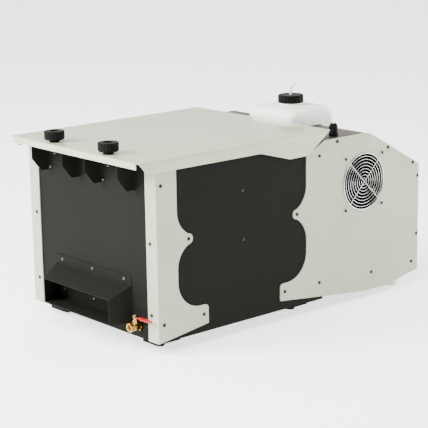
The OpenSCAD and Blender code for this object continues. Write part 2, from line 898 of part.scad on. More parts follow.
module housing_floor() color(black_paint) machine() {
    difference() {
        union() {
            bent_sheet(floor_path, sheet_t, -plate_x, plate_x);
            both_sides() side_plate(sheet_x, sheet_t)
                polygon([floor_path[0] + [0, 0], floor_path[1], floor_path[2], floor_path[3],
                         [rear_y - sheet_t, 32], [rear_y - sheet_t, flange_top],
                         [chest_len, flange_top]]);
        }
        both_sides() side_holes(housing_screws);
        block([-side_x, rear_y - sheet_t, 33], [side_x, rear_y + 1, 60]);
    }
}

// ---- Tank ----

// A rectangle with rounded corners, centred on the origin
module rounded(size, r) {
    square([size[0] - 2 * r, size[1]], center = true);
    square([size[0], size[1] - 2 * r], center = true);
    for (x = [-1, 1], y = [-1, 1])
        translate([x * (size[0] / 2 - r), y * (size[1] / 2 - r)]) circle(r = r);
}

// The tank's block with its twelve edges rounded, drawn in by t
module tank_block(t) {
    r = tank_edge_r - t;
    size = [tank_w - 2 * t, tank_len - 2 * t, tank_top - tank_bottom - 2 * t];
    translate([0, 0, (tank_top + tank_bottom) / 2]) intersection() {
        translate([0, 0, -size[2] / 2]) linear_extrude(size[2]) rounded([size[0], size[1]], r);
        front_plate(-size[1] / 2, size[1]) rounded([size[0], size[2]], r);
        side_plate(-size[0] / 2, size[0]) rounded([size[1], size[2]], r);
    }
}

module tank() color([0.95, 0.95, 0.90]) machine() translate([0, tank_y, 0]) {
    difference() {
        union() {
            tank_block(0);
            translate([0, 0, tank_top - 4]) cylinder(r = 25, h = cap_low - run_gap - tank_top + 4);
            translate([0, 0, tank_top + 3]) cylinder(r = thread_r, h = cap_high - 4 - tank_top - 3);
        }
        tank_block(tank_t);
        translate([0, 0, tank_top - 10]) cylinder(r = neck_bore_r, h = 40);
    }
}

module tank_cap() color(black_plastic) machine() translate([0, tank_y, 0]) {
    difference() {
        union() {
            translate([0, 0, cap_low]) cylinder(r = cap_r, h = cap_high - cap_low - 1.5);
            translate([0, 0, cap_high - 1.5 - eps])
                cylinder(r1 = cap_r, r2 = cap_r - 2, h = 1.5 + eps);
        }
        translate([0, 0, cap_low - 1]) cylinder(r = thread_r + run_gap, h = cap_high - 2.5 - cap_low);
        translate([0, 0, cap_low]) cylinder(r = hose_r + 0.5, h = 30);
    }
}

// A tube along the smooth curve through the route's points. Each ring stands square to the
// curve, and all rings share the direction across the arch's plane.
module hose() color([0.93, 0.93, 0.86]) machine() {
    span = len(hose_route) - 1;
    across = unit(cross(hose_route[span] - hose_route[0], [0, 0, 1]));
    rings = [for (i = [0 : hose_rings])
        let (u = i * span / hose_rings,
             centre = on_path(hose_route, u),
             ahead = on_path(hose_route, min(u + 0.05, span)),
             behind = on_path(hose_route, max(u - 0.05, 0)),
             along = unit(ahead - behind),
             up = unit(cross(along, across)))
        [for (k = [0 : hose_sides - 1])
            let (a = k * 360 / hose_sides)
            centre + hose_r * (cos(a) * across + sin(a) * up)]];
    points = [for (ring = rings) each ring];
    walls = [for (i = [0 : hose_rings - 1], k = [0 : hose_sides - 1])
        let (a = i * hose_sides + k, b = i * hose_sides + (k + 1) % hose_sides)
        [a, b, b + hose_sides, a + hose_sides]];
    first = [for (k = [hose_sides - 1 : -1 : 0]) k];
    last = [for (k = [0 : hose_sides - 1]) hose_rings * hose_sides + k];
    polyhedron(points, concat([first], walls, [last]));
}

module hose_gland() color(black_plastic) machine() translate([gland_x, gland_y, 0]) {
    nut_top = deck_z + 13.7;
    difference() {
        union() {
            translate([0, 0, deck_z - 9]) cylinder(r = 6.3, h = 10);
            translate([0, 0, deck_z]) cylinder(r = 9.6, h = 6, $fn = 6);
            translate([0, 0, deck_z + 6 - eps]) cylinder(r = 8.6, h = nut_top - deck_z - 6);
        }
        translate([0, 0, deck_z - 10]) cylinder(r = hose_r + 0.5, h = 30);
    }
}

module gland_nut() color(black_plastic) machine() translate([gland_x, gland_y, 0]) {
    low = deck_z + 13.7;
    difference() {
        union() {
            translate([0, 0, low]) cylinder(r = 9.2, h = 8, $fn = 6);
            translate([0, 0, low + 8 - eps]) cylinder(r1 = 7.6, r2 = 5.5, h = gland_top - low - 8);
        }
        translate([0, 0, low - 1]) cylinder(r = hose_r + 0.5, h = 20);
        translate([0, 0, gland_top - 2]) cylinder(r1 = hose_r + 0.5, r2 = hose_r + 1.3, h = 2 + eps);
    }
}

// ---- Fan ----

module at_fan() {
    translate([0, fan_y, fan_z]) children();
}

module fan_guard() color(steel) machine() at_fan() {
    ring_low = side_x + 1.6;
    ring_high = side_x + 3.4;
    lug_r = 4.5;
    reach = fan_pitch / 2 * sqrt(2);
    difference() {
        union() {
            for (i = [0 : guard_rings - 1]) {
                r = guard_r - i * guard_step;
                difference() {
                    rod_x(r, ring_low, ring_high);
                    rod_x(r - guard_wire, ring_low - 1, ring_high + 1);
                }
            }
            for (a = [45 : 90 : 315]) rotate([a, 0, 0]) {
                block([side_x, -1, guard_r - guard_rings * guard_step + 3],
                      [side_x + 1.8, 1, reach - 4]);
                translate([0, 0, reach]) rod_x(lug_r, side_x, side_x + 1.6);
            }
        }
        for (a = [45 : 90 : 315]) rotate([a, 0, 0])
            translate([0, 0, reach]) rod_x(2.2, side_x - 1, side_x + 5);
    }
}

module fan_frame() color(black_plastic) machine() at_fan() {
    half = fan_size / 2;
    low = plate_x - fan_depth;
    difference() {
        union() {
            difference() {
                block([low, -half, -half], [plate_x, half, half]);
                rod_x(fan_bore_r, low - 1, plate_x + 1);
            }
            rod_x(fan_hub_r, low, low + 3);
            for (a = [0 : 90 : 270]) rotate([a + 20, 0, 0])
                block([low, -2.5, fan_hub_r - 2], [low + 3, 2.5, fan_bore_r + 1]);
        }
        for (y = [-1, 1], z = [-1, 1]) translate([0, y * fan_pitch / 2, z * fan_pitch / 2])
            rod_x(2.2, low - 1, plate_x + 1);
        rod_x(1.5 + run_gap, low - 1, low + 4);
    }
}

module fan_rotor() color(black_plastic) machine() at_fan() {
    low = plate_x - fan_depth + 4;
    high = plate_x - 3;
    blade_reach = fan_bore_r - 1.5 - fan_hub_r;
    rod_x(fan_hub_r, low, high);
    rod_x(1.5, low - 4, low + 1);
    intersection() {
        rod_x(fan_bore_r - 1.2, low, high);
        for (i = [0 : blades - 1]) rotate([i * 360 / blades, 0, 0])
            translate([(low + high) / 2, 0, fan_hub_r - 2]) rotate([0, 0, 38])
                translate([-0.9, -17, 0]) cube([1.8, 34, blade_reach + 2]);
    }
}

// ---- Inside the housing ----

heater_low = 125;
heater_high = 205;

// Stands on the housing's floor, whose slope its feet follow
module on_floor() {
    intersection() {
        children();
        above_path(sheet_t);
    }
}

module heater_block() color(steel) machine() {
    fins = 9;
    leg = 10;
    difference() {
        block([-70, 452, heater_low], [70, 560, heater_high]);
        for (i = [0 : fins - 1])
            block([-71, 462 + i * 10.5, heater_high - 12], [71, 467 + i * 10.5, heater_high + 1]);
        translate([0, 0, pipe_z]) rod_y(pipe_r - 2, 451, 470);
    }
    for (x = [-60, 50], y = [456, 546]) {
        on_floor() block([x, y, 10], [x + leg, y + leg, 70]);
        block([x, y, 70 - eps], [x + leg, y + leg, heater_low + eps]);
    }
}

module fog_pipe() color(brass) machine() translate([0, 0, pipe_z]) {
    difference() {
        union() {
            rod_y(pipe_r, liner_back - 14, 452);
            rod_y(pipe_r + 5, chest_len, chest_len + 3);
        }
        rod_y(pipe_r - 2, liner_back - 15, 453);
    }
}

module pump() color(black_plastic) machine() {
    axis_z = 56;
    foot = [22, 20];
    translate([130, 0, axis_z]) {
        rod_y(20, 470, 530);
        rod_y(6, 458, 470 + eps);
        rod_y(5, 530 - eps, 545);
    }
    on_floor() block([130 - foot[0], 500 - foot[1], 10], [130 + foot[0], 500 + foot[1], axis_z - 15]);
}

module control_board() color([0.10, 0.38, 0.20]) machine() {
    x = -175;
    block([x, 470, 70], [x + 1.6, 640, 190]);
    for (y = [478, 628], z = [76, 180]) block([-plate_x, y, z], [x + eps, y + 6, z + 6]);
    block([x + 1.6 - eps, 490, 90], [x + 34, 545, 140]);
    for (i = [0 : 3]) block([x + 1.6 - eps, 490 + i * 24, 155], [x + 17, 508 + i * 24, 171]);
    for (y = [570, 596]) translate([0, y, 105]) rod_x(9, x + 1.6 - eps, x + 32);
}

// ---- Rear controls ----

module power_inlet() color(black_plastic) machine()
    translate([inlet_x, rear_y, inlet_z]) {
    w = inlet_w / 2;
    h = inlet_h / 2;
    difference() {
        union() {
            block([-25, 0, -h - 2], [25, inlet_flange, h + 2]);
            block([-w - 1.4, -24, -h - 1.4], [w + 1.4, eps, h + 1.4]);
        }
        block([-w + 1.5, -15, -h + 1.5], [w - 1.5, 4, h - 1.5]);
        for (s = [-1, 1]) translate([s * 20, 0, 0]) rod_y(screw_hole_r, -1, 4);
    }
    for (p = [[-7, 1], [7, 1], [0, 4.6]])
        block([p[0] - 1, -15 - eps, p[1] - 2], [p[0] + 1, -2, p[1] + 2]);
}

module power_switch() color(black_plastic) machine() translate([rocker_x, rear_y, rocker_z]) {
    w = rocker_w / 2;
    h = rocker_h / 2;
    difference() {
        union() {
            block([-w - 3, 0, -h - 3], [w + 3, 2, h + 3]);
            block([-w - 1.4, -20, -h - 1.4], [w + 1.4, eps, h + 1.4]);
        }
        block([-w, -12, -h], [w, 3, h]);
        translate([0, -4, 0]) rod_x(1.2 + run_gap, -w - 2, w + 2);
    }
}

// The rocker turns about a line along X, just under the switch's face
module power_rocker() color([0.75, 0.10, 0.08]) machine()
    translate([rocker_x, rear_y, rocker_z]) {
    w = rocker_w / 2 - 0.6;
    h = rocker_h / 2 - 1.4;
    translate([0, -4, 0]) {
        rotate([rocker_tilt, 0, 0]) side_plate(-w, 2 * w)
            polygon([[-4, -h + 3], [5, -h], [3.4, 0], [5, h], [-4, h - 3]]);
        rod_x(1.2, -w - 1.6, w + 1.6);
    }
}

// A round three-pole connector: its body with the flange and the collar, around what a
// mating connector takes up
module signal_socket(x, collar_r) translate([x, rear_y, socket_z]) {
    difference() {
        union() {
            block([-13, 0, -15.5], [13, socket_flange, 15.5]);
            rod_y(socket_r, -18, eps);
            rod_y(collar_r, 0, 3);
        }
        for (s = [-1, 1]) translate([s * 9.5, 0, -s * 12]) rod_y(screw_hole_r, -1, 4);
        children();
    }
}

// Three poles on a circle, over y0 to y1
module poles(r, circle_r, y0, y1) {
    for (a = [90, 210, 330])
        translate([circle_r * cos(a), 0, circle_r * sin(a)]) rod_y(r, y0, y1);
}

module signal_input() color([0.55, 0.56, 0.57]) machine() {
    depth = 13;
    signal_socket(socket_x[0], 9.6) rod_y(7.75, -depth, 4);
    translate([socket_x[0], rear_y, socket_z]) poles(1.2, 3.2, -depth - eps, -1);
}

module signal_output() color([0.55, 0.56, 0.57]) machine()
    signal_socket(socket_x[1], 9) poles(1.3, 3.3, -12, 4);

module display_module() color(black_plastic) machine()
    translate([display_x, rear_y, display_z]) {
    difference() {
        union() {
            block([-display_w / 2, 0, -display_h / 2],
                  [display_w / 2, display_flange, display_h / 2]);
            block([-39.5, -16, -15.5], [39.5, eps, 15.5]);
        }
        block([screen_x[0], 1.8, -screen_h / 2], [screen_x[1], 4, screen_h / 2]);
        for (x = button_x) translate([x, 0, 0]) rod_y(button_r + run_gap, -button_depth, 4);
        for (x = [-1, 1], z = [-1, 1])
            translate([x * (display_w / 2 - 4), 0, z * (display_h / 2 - 4)])
                rod_y(screw_hole_r, -1, 4);
    }
}

module menu_button(i) {
    travel = 2;
    translate([display_x + button_x[i], rear_y, display_z])
        rod_y(button_r, travel - button_depth, rear_reach);
}

module button_menu() color([0.80, 0.80, 0.80]) machine() menu_button(0);
module button_up() color([0.80, 0.80, 0.80]) machine() menu_button(1);
module button_down() color([0.80, 0.80, 0.80]) machine() menu_button(2);

// ---- Screws ----

// A pan-head screw that points down, with the underside of its head at z = 0
module screw(shank) {
    cylinder(r = screw_head_r, h = screw_head_t - 0.6);
    translate([0, 0, screw_head_t - 0.6 - eps])
        cylinder(r1 = screw_head_r, r2 = screw_head_r - 1, h = 0.6 + eps);
    translate([0, 0, -shank]) cylinder(r = screw_shank_r, h = shank + eps);
}

module side_screw(p, seat, shank) {
    translate([seat, p[0], p[1]]) rotate([0, 90, 0]) screw(shank);
}

module front_screw(x, z, seat, shank) {
    translate([x, seat, z]) rotate([90, 0, 0]) screw(shank);
}

module rear_screws_on(points, flange) {
    for (p = points) translate([p[0], rear_y + flange, p[1]])
        rotate([-90, 0, 0]) screw(flange + sheet_t);
}

module screws_dark() color([0.30, 0.28, 0.26]) machine() {
    both_sides() {
        for (p = concat(wing_screws, chest_plate_screws, housing_screws))
            side_screw(p, side_x, shank_len);
        for (p = middle_screws) side_screw(p, plate_x, sheet_t);
        for (z = column_screws) front_screw(column_screw_x, z, 0, shank_len);
    }
    for (y = [-1, 1], z = [-1, 1])
        side_screw([fan_y + y * fan_pitch / 2, fan_z + z * fan_pitch / 2], side_x + 1.6, 20);
}

module screws_bright() color(steel) machine() {
    for (x = hood_screw_x) {
        front_screw(x, hood_screw_z, panel_y - hood_t, hood_t + plate_t);
        front_screw(x, frame_screw_z, panel_y, plate_t);
    }
    for (s = [-1, 1], t = [-1, 1])
        front_screw(s * knob_x + t * bracket_screw_x, bracket_screw_z, panel_y - sheet_t, 3);
    rear_screws_on(display_screws, display_flange);
    rear_screws_on(socket_screws, socket_flange);
    rear_screws_on(inlet_screws, inlet_flange);
}

base_pan();
corner_plates();
chest_feet();
rear_feet();
front_panel();
side_panel_left();
side_panel_right();
bulkhead();
insulation();
liner();
ice_tray();
corner_column_left();
corner_column_right();
outlet_hood();
lid_brackets();
lid();
lid_gasket();
lid_insulation();
hinge_leaf_fixed();
hinge_leaf_moving();
hinge_pin();
knob_left();
knob_right();
stud_left();
stud_right();
valve_body();
valve_locknuts();
valve_ball();
valve_lever();
valve_stem_nut();
housing_side_left();
housing_side_right();
deck_cover();
rear_panel();
housing_floor();
tank_well();
tank();
tank_cap();
hose();
hose_gland();
gland_nut();
fan_guard();
fan_frame();
fan_rotor();
heater_block();
fog_pipe();
pump();
control_board();
power_inlet();
power_switch();
power_rocker();
signal_input();
signal_output();
display_module();
button_menu();
button_up();
button_down();
screws_dark();
screws_bright();
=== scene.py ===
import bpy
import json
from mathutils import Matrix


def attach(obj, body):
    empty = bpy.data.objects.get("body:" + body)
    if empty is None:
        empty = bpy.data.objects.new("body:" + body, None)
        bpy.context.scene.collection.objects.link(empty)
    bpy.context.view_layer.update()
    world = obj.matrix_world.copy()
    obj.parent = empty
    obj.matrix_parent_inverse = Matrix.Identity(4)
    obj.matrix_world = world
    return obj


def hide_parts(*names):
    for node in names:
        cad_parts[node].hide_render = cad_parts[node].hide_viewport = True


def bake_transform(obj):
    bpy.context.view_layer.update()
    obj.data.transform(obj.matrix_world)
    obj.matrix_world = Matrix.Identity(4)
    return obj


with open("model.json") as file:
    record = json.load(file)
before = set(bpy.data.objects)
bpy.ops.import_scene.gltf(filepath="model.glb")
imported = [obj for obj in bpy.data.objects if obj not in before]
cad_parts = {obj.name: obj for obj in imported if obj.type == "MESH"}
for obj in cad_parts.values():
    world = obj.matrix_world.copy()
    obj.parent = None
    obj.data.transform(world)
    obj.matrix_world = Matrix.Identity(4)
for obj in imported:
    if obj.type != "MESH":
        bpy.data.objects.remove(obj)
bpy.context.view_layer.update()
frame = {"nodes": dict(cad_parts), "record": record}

import json
import math

import bmesh
import bpy
from mathutils import Matrix, Vector

MM = 0.001
NODES = frame["nodes"]
collection = bpy.context.scene.collection

# ---- Camera ----

CAMERA_AZIMUTH = math.radians(49.28)
CAMERA_ELEVATION = math.radians(13.34)
CAMERA_ROLL = math.radians(-0.92)
CAMERA_PLACE = Vector((2.193, -1.913, 0.8688))
CAMERA_LENS = 123.4
CAMERA_SENSOR = 36
CAMERA_CLIP = (0.05, 50)


def make_camera():
    a, e = CAMERA_AZIMUTH, CAMERA_ELEVATION
    back = Vector((math.sin(a) * math.cos(e), -math.cos(a) * math.cos(e), math.sin(e)))
    level = Vector((math.cos(a), math.sin(a), 0))
    upright = back.cross(level)
    c, s = math.cos(CAMERA_ROLL), math.sin(CAMERA_ROLL)
    right = c * level + s * upright
    up = c * upright - s * level
    data = bpy.data.cameras.new("camera")
    data.sensor_width = CAMERA_SENSOR
    data.lens = CAMERA_LENS
    data.clip_start, data.clip_end = CAMERA_CLIP
    camera = bpy.data.objects.new("camera", data)
    turn = Matrix((right, up, back)).transposed()
    camera.matrix_world = Matrix.Translation(CAMERA_PLACE) @ turn.to_4x4()
    collection.objects.link(camera)
    bpy.context.scene.camera = camera


make_camera()

# ---- Mesh helpers ----


def piece(name, bm, body, slot, replaces=(), sharp=40):
    """A new piece from a bmesh, which rides on a body. Edges over the sharp angle stay hard."""
    bmesh.ops.recalc_face_normals(bm, faces=bm.faces)
    mesh = bpy.data.meshes.new(name)
    bm.to_mesh(mesh)
    bm.free()
    mesh.materials.append(materials[slot])
    for polygon in mesh.polygons:
        polygon.use_smooth = True
    mesh.set_sharp_from_angle(angle=math.radians(sharp))
    obj = bpy.data.objects.new(name, mesh)
    collection.objects.link(obj)
    if body:
        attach(obj, body)
    if replaces:
        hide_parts(*replaces)
    return obj


def tube_rings(bm, path, radius, sides):
    """Rings of vertices along a path, each square to it, turned as little as they can be."""
    rings = []
    side = None
    for i, p in enumerate(path):
        along = (path[min(i + 1, len(path) - 1)] - path[max(i - 1, 0)]).normalized()
        if side is None:
            side = along.orthogonal()
        side = (side - along * side.dot(along)).normalized()
        other = along.cross(side)
        rings.append([
            bm.verts.new(p + radius * (math.cos(k * math.tau / sides) * side
                                       + math.sin(k * math.tau / sides) * other))
            for k in range(sides)])
    return rings


def skin(bm, rings, closed=False):
    """Quads between neighbouring rings, and triangles at a ring that is a single vertex."""
    pairs = list(zip(rings, rings[1:]))
    if closed:
        pairs.append((rings[-1], rings[0]))
    for a, b in pairs:
        n = max(len(a), len(b))
        for k in range(n):
            corners = [a[k % len(a)], a[(k + 1) % len(a)], b[(k + 1) % len(b)], b[k % len(b)]]
            bm.faces.new(dict.fromkeys(corners))


def smooth_path(points, steps):
    """Catmull-Rom curve through the points, with that many steps between two of them."""
    path = []
    last = len(points) - 1
    for i in range(last):
        a, b = points[max(i - 1, 0)], points[i]
        c, d = points[i + 1], points[min(i + 2, last)]
        for k in range(steps):
            f = k / steps
            path.append(0.5 * (2 * b + (c - a) * f + (2 * a - 5 * b + 4 * c - d) * f ** 2
                               + (3 * b - a - 3 * c + d) * f ** 3))
    path.append(points[-1])
    return path


# ---- Materials ----


class Nodes:
    """A short way to write a material's node tree."""

    def __init__(self, name):
        self.material = bpy.data.materials.new(name)
        self.material.use_nodes = True
        self.tree = self.material.node_tree
        self.shader = self.tree.nodes["Principled BSDF"]
        self.place = self.add("ShaderNodeTexCoord").outputs["Object"]

    def add(self, kind, **settings):
        node = self.tree.nodes.new(kind)
        for key, value in settings.items():
            setattr(node, key, value)
        return node

    def join(self, source, target):
        self.tree.links.new(source, target)

    def put(self, socket, value):
        """Sets a socket, or links it when the value is another node's output."""
        if isinstance(value, bpy.types.NodeSocket):
            self.join(value, socket)
        else:
            socket.default_value = value

    def noise(self, scale, detail=3.0, roughness=0.55, stretch=None):
        place = self.place
        if stretch:
            mapping = self.add("ShaderNodeMapping")
            mapping.inputs["Scale"].default_value = stretch
            self.join(place, mapping.inputs["Vector"])
            place = mapping.outputs["Vector"]
        node = self.add("ShaderNodeTexNoise")
        node.inputs["Scale"].default_value = scale
        node.inputs["Detail"].default_value = detail
        node.inputs["Roughness"].default_value = roughness
        self.join(place, node.inputs["Vector"])
        return node.outputs["Fac"]

    def spread(self, value, low, high, to_low=0.0, to_high=1.0):
        """Maps low..high to to_low..to_high, and holds the ends."""
        node = self.add("ShaderNodeMapRange")
        self.put(node.inputs["Value"], value)
        for name, number in (("From Min", low), ("From Max", high),
                             ("To Min", to_low), ("To Max", to_high)):
            node.inputs[name].default_value = number
        return node.outputs["Result"]

    def mix(self, share, a, b):
        node = self.add("ShaderNodeMix", data_type="RGBA")
        self.put(node.inputs["Factor"], share)
        for socket, value in ((node.inputs[6], a), (node.inputs[7], b)):
            self.put(socket, value if isinstance(value, bpy.types.NodeSocket) else (*value, 1))
        return node.outputs[2]

    def bump(self, height, distance):
        node = self.add("ShaderNodeBump")
        node.inputs["Strength"].default_value = 1.0
        node.inputs["Distance"].default_value = distance
        self.put(node.inputs["Height"], height)
        return node.outputs["Normal"]

    def edges(self, radius):
        """1 along a piece's edges and 0 on its faces."""
        bevel = self.add("ShaderNodeBevel", samples=4)
        bevel.inputs["Radius"].default_value = radius
        geometry = self.add("ShaderNodeNewGeometry")
        dot = self.add("ShaderNodeVectorMath", operation="DOT_PRODUCT")
        self.join(bevel.outputs["Normal"], dot.inputs[0])
        self.join(geometry.outputs["Normal"], dot.inputs[1])
        return self.spread(dot.outputs["Value"], 0.995, 0.9)

    def set(self, **inputs):
        for key, value in inputs.items():
            name = key.replace("_", " ")
            if isinstance(value, tuple) and len(value) == 3:
                value = (*value, 1)
            self.put(self.shader.inputs[name], value)
        return self.material


def lighter(color, by):
    return tuple(min(1.0, c * by) for c in color)


def powder_coat(name, color, roughness, grain=900, grain_depth=0.00006, edge_highlight=1.35, clear=0.0,
                shine=0.5):
    """Painted sheet: a fine orange peel, faint mottling and dust, and a painted highlight that makes
    its edges paler.
    """
    n = Nodes(name)
    peel = n.noise(grain, 2)
    cloud = n.noise(9, 4)
    smear = n.noise(30, 5, 0.6, stretch=(1, 1, 0.25))
    base = n.mix(n.spread(cloud, 0.35, 0.65), lighter(color, 0.95), lighter(color, 1.05))
    base = n.mix(n.spread(peel, 0.45, 0.75, 0, 0.35), base, lighter(color, 1.18))
    # Painted highlight: a band along every edge is mixed towards a paler colour, as if light caught
    # it.
    edge_highlight_mask = n.edges(0.0006)
    base = n.mix(n.spread(edge_highlight_mask, 0, 1, 0, 0.7), base, lighter(color, edge_highlight))
    n.set(Base_Color=base,
          Roughness=n.spread(smear, 0.3, 0.7, roughness - 0.02, roughness + 0.03),
          Normal=n.bump(peel, grain_depth),
          Coat_Weight=clear, Coat_Roughness=0.05, Specular_IOR_Level=shine)
    return n.material


def plastic(name, color, roughness, grain=1500, depth=0.00003, shine=0.5):
    """Moulded plastic with a spark-eroded grain, and a painted highlight that makes its edges
    lighter.
    """
    n = Nodes(name)
    fine = n.noise(grain, 2)
    cloud = n.noise(40, 4)
    base = n.mix(n.spread(cloud, 0.35, 0.65), lighter(color, 0.96), lighter(color, 1.04))
    # Painted highlight: a band along every edge is mixed towards a much lighter colour.
    base = n.mix(n.spread(n.edges(0.0004), 0, 1, 0, 0.6), base, lighter(color, 1.9))
    return n.set(Base_Color=base,
                 Roughness=n.spread(cloud, 0.3, 0.7, roughness - 0.06, roughness + 0.08),
                 Normal=n.bump(fine, depth), Specular_IOR_Level=shine)


def rubber(name, color, roughness=0.75):
    n = Nodes(name)
    fine = n.noise(2500, 2)
    dust = n.spread(n.noise(60, 6, 0.7), 0.5, 0.8)
    base = n.mix(n.spread(dust, 0, 1, 0, 0.4), color, lighter(color, 1.8))
    return n.set(Base_Color=base, Roughness=roughness, Normal=n.bump(fine, 0.00004),
                 Specular_IOR_Level=0.1)


def metal(name, color, roughness, stretch=(1, 1, 1), scale=700, depth=0.00001):
    """Bare or plated metal with fine working marks along one direction and faint tarnish."""
    n = Nodes(name)
    marks = n.noise(scale, 3, 0.6, stretch=stretch)
    stain = n.noise(70, 5, 0.65)
    base = n.mix(n.spread(stain, 0.4, 0.75), color, lighter(color, 0.72))
    return n.set(Base_Color=base, Metallic=1.0,
                 Roughness=n.spread(marks, 0.3, 0.7, roughness * 0.7, roughness * 1.35),
                 Normal=n.bump(marks, depth))


def milky(name, color, roughness, depth):
    """Translucent plastic: light enters it and comes out nearby."""
    n = Nodes(name)
    cloud = n.noise(12, 3)
    base = n.mix(n.spread(cloud, 0.35, 0.65), lighter(color, 0.96), lighter(color, 1.03))
    n.shader.inputs["Subsurface Radius"].default_value = (1.0, 0.95, 0.8)
    return n.set(Base_Color=base, Roughness=n.spread(cloud, 0.3, 0.7, roughness - 0.05,
                                                     roughness + 0.08),
                 Subsurface_Weight=0.4, Subsurface_Scale=depth)


GREY = (0.345, 0.358, 0.262)
BLACK = (0.0082, 0.0081, 0.0066)
DECK = (0.050, 0.043, 0.030)

materials = {
    # Painted highlight: the number after the bump depth in each powder_coat call sets how much its
    # edges are lightened.
    "grey_paint": powder_coat("grey_paint", GREY, 0.42),
    "lid_paint": powder_coat("lid_paint", (0.405, 0.42, 0.282), 0.3, 600, 0.00001, 1.3, 0.5),
    "black_paint": powder_coat("black_paint", BLACK, 0.55, 1100, 0.00012, 2.2, 0.0, 0.03),
    "deck_paint": powder_coat("deck_paint", DECK, 0.45, 900, 0.00008, 2.0, 0.0, 0.3),
    "black_plastic": plastic("black_plastic", (0.0045, 0.0044, 0.0040), 0.42, shine=0.05),
    # Painted shade: fan_black is darker than the black plastic, so the fan's rotor and frame behind
    # the guard read as in shade.
    "fan_black": plastic("fan_black", (0.0016, 0.0016, 0.0015), 0.6, shine=0.02),
    "display_glass": plastic("display_glass", (0.004, 0.005, 0.006), 0.08, 300, 0.000002),
    "black_rubber": rubber("black_rubber", (0.006, 0.006, 0.0055)),
    "foot_cream": rubber("foot_cream", (0.78, 0.74, 0.58), 0.6),
    "zinc_steel": metal("zinc_steel", (0.12, 0.118, 0.108), 0.3),
    "guard_chrome": metal("guard_chrome", (0.62, 0.62, 0.60), 0.16),
    "screw_dark": metal("screw_dark", (0.045, 0.04, 0.035), 0.3),
    "valve_brass": metal("valve_brass", (0.43, 0.235, 0.058), 0.2),
    "heater_alloy": metal("heater_alloy", (0.55, 0.55, 0.55), 0.5),
    "lever_red": plastic("lever_red", (0.42, 0.004, 0.004), 0.35, shine=0.3),
    "board_green": plastic("board_green", (0.02, 0.14, 0.05), 0.4),
    "button_grey": plastic("button_grey", (0.45, 0.45, 0.44), 0.45),
    "rocker_red": plastic("rocker_red", (0.30, 0.003, 0.003), 0.3, shine=0.3),
    "foam": plastic("foam", (0.78, 0.76, 0.66), 0.8, 500, 0.0004),
    "liner_plastic": plastic("liner_plastic", (0.74, 0.75, 0.73), 0.3),
    "tank_plastic": milky("tank_plastic", (0.96, 0.965, 0.85), 0.3, 0.004),
    "hose_plastic": milky("hose_plastic", (0.84, 0.84, 0.70), 0.2, 0.002),
}

slots = {row["node"]: row["material_slot"] for row in frame["record"]["subparts"]}
for name, obj in NODES.items():
    obj.data.materials.clear()
    obj.data.materials.append(materials[slots[name]])


# ---- Hose ----

# Row y of the column faces, which part.scad counts its lengths from
FACE_Y = -333 * MM


def at(x, y, z):
    """A place given in part.scad's millimetres."""
    return Vector((x * MM, y * MM + FACE_Y, z * MM))


HOSE_ROUTE = [(0, 524, 402), (0, 524, 408), (1.5, 523.5, 414), (6, 522, 420.5),
              (13.5, 520, 426.5), (24, 517, 430.5), (38, 512, 432.5), (55, 507, 432.5),
              (75, 501, 430), (95, 495, 426), (112, 490, 420), (128, 485, 412.5),
              (143, 480, 404), (155, 477, 396.5), (164.5, 474, 390), (172, 472, 383),
              (176.5, 471, 376.5), (178, 470, 369.5), (178, 470, 364), (178, 470, 358)]


def make_hose():
    path = smooth_path([at(*p) for p in HOSE_ROUTE], 8)
    bm = bmesh.new()
    rings = tube_rings(bm, path, 2 * MM, 16)
    skin(bm, rings)
    bm.faces.new(reversed(rings[0]))
    bm.faces.new(rings[-1])
    hose = piece("hose_tube", bm, None, "hose_plastic", replaces=["hose"])
    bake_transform(hose)


make_hose()

# ---- Sheet metal ----


def add_bevel(obj, width):
    """A bevel in two steps along an object's hard edges."""
    bevel = obj.modifiers.new("bevel", "BEVEL")
    bevel.width = width
    bevel.segments = 2
    return bevel


def soften(name, width):
    """Gives a CAD node small rounded edges, without changing its mesh."""
    obj = NODES[name]
    flat = obj.modifiers.new("flat", "DECIMATE")
    flat.decimate_type = "DISSOLVE"
    flat.angle_limit = math.radians(0.5)
    bevel = add_bevel(obj, width)
    bevel.limit_method = "ANGLE"
    bevel.angle_limit = math.radians(35)
    bevel.use_clamp_overlap = False
    bevel.harden_normals = True


SHEET_EDGE = 0.35 * MM
BLOCK_EDGE = 0.5 * MM

for name in ("front_panel", "side_panel_left", "side_panel_right", "corner_column_left",
             "corner_column_right", "outlet_hood", "lid_brackets", "housing_side_left",
             "housing_side_right", "deck_cover", "rear_panel", "housing_floor", "base_pan",
             "tank_well", "lid_gasket", "lid_insulation", "ice_tray", "liner"):
    soften(name, SHEET_EDGE)
for name in ("corner_plates", "fan_frame", "display_module", "power_inlet", "power_switch",
             "heater_block", "signal_input", "signal_output", "power_rocker"):
    soften(name, BLOCK_EDGE)

LID_HALF = 202.6
LID_FRONT, LID_REAR = -38.4, 438.8
LID_TOP = 364
LID_SHEET = 1.5
LID_FOLD = 1.8
LID_CORNER = 3.4  # what is cut off each rear corner
FRONT_FLANGE_HALF = 193
FRONT_FLANGE_DEPTH = 12.5
# The side flanges are deeper at the rear, between the last two of these places along y
FLANGE_Y = (252, 327.5, 378)
FLANGE_FRONT_Z, FLANGE_REAR_Z = 342, 321
FLANGE_SLANT = 18


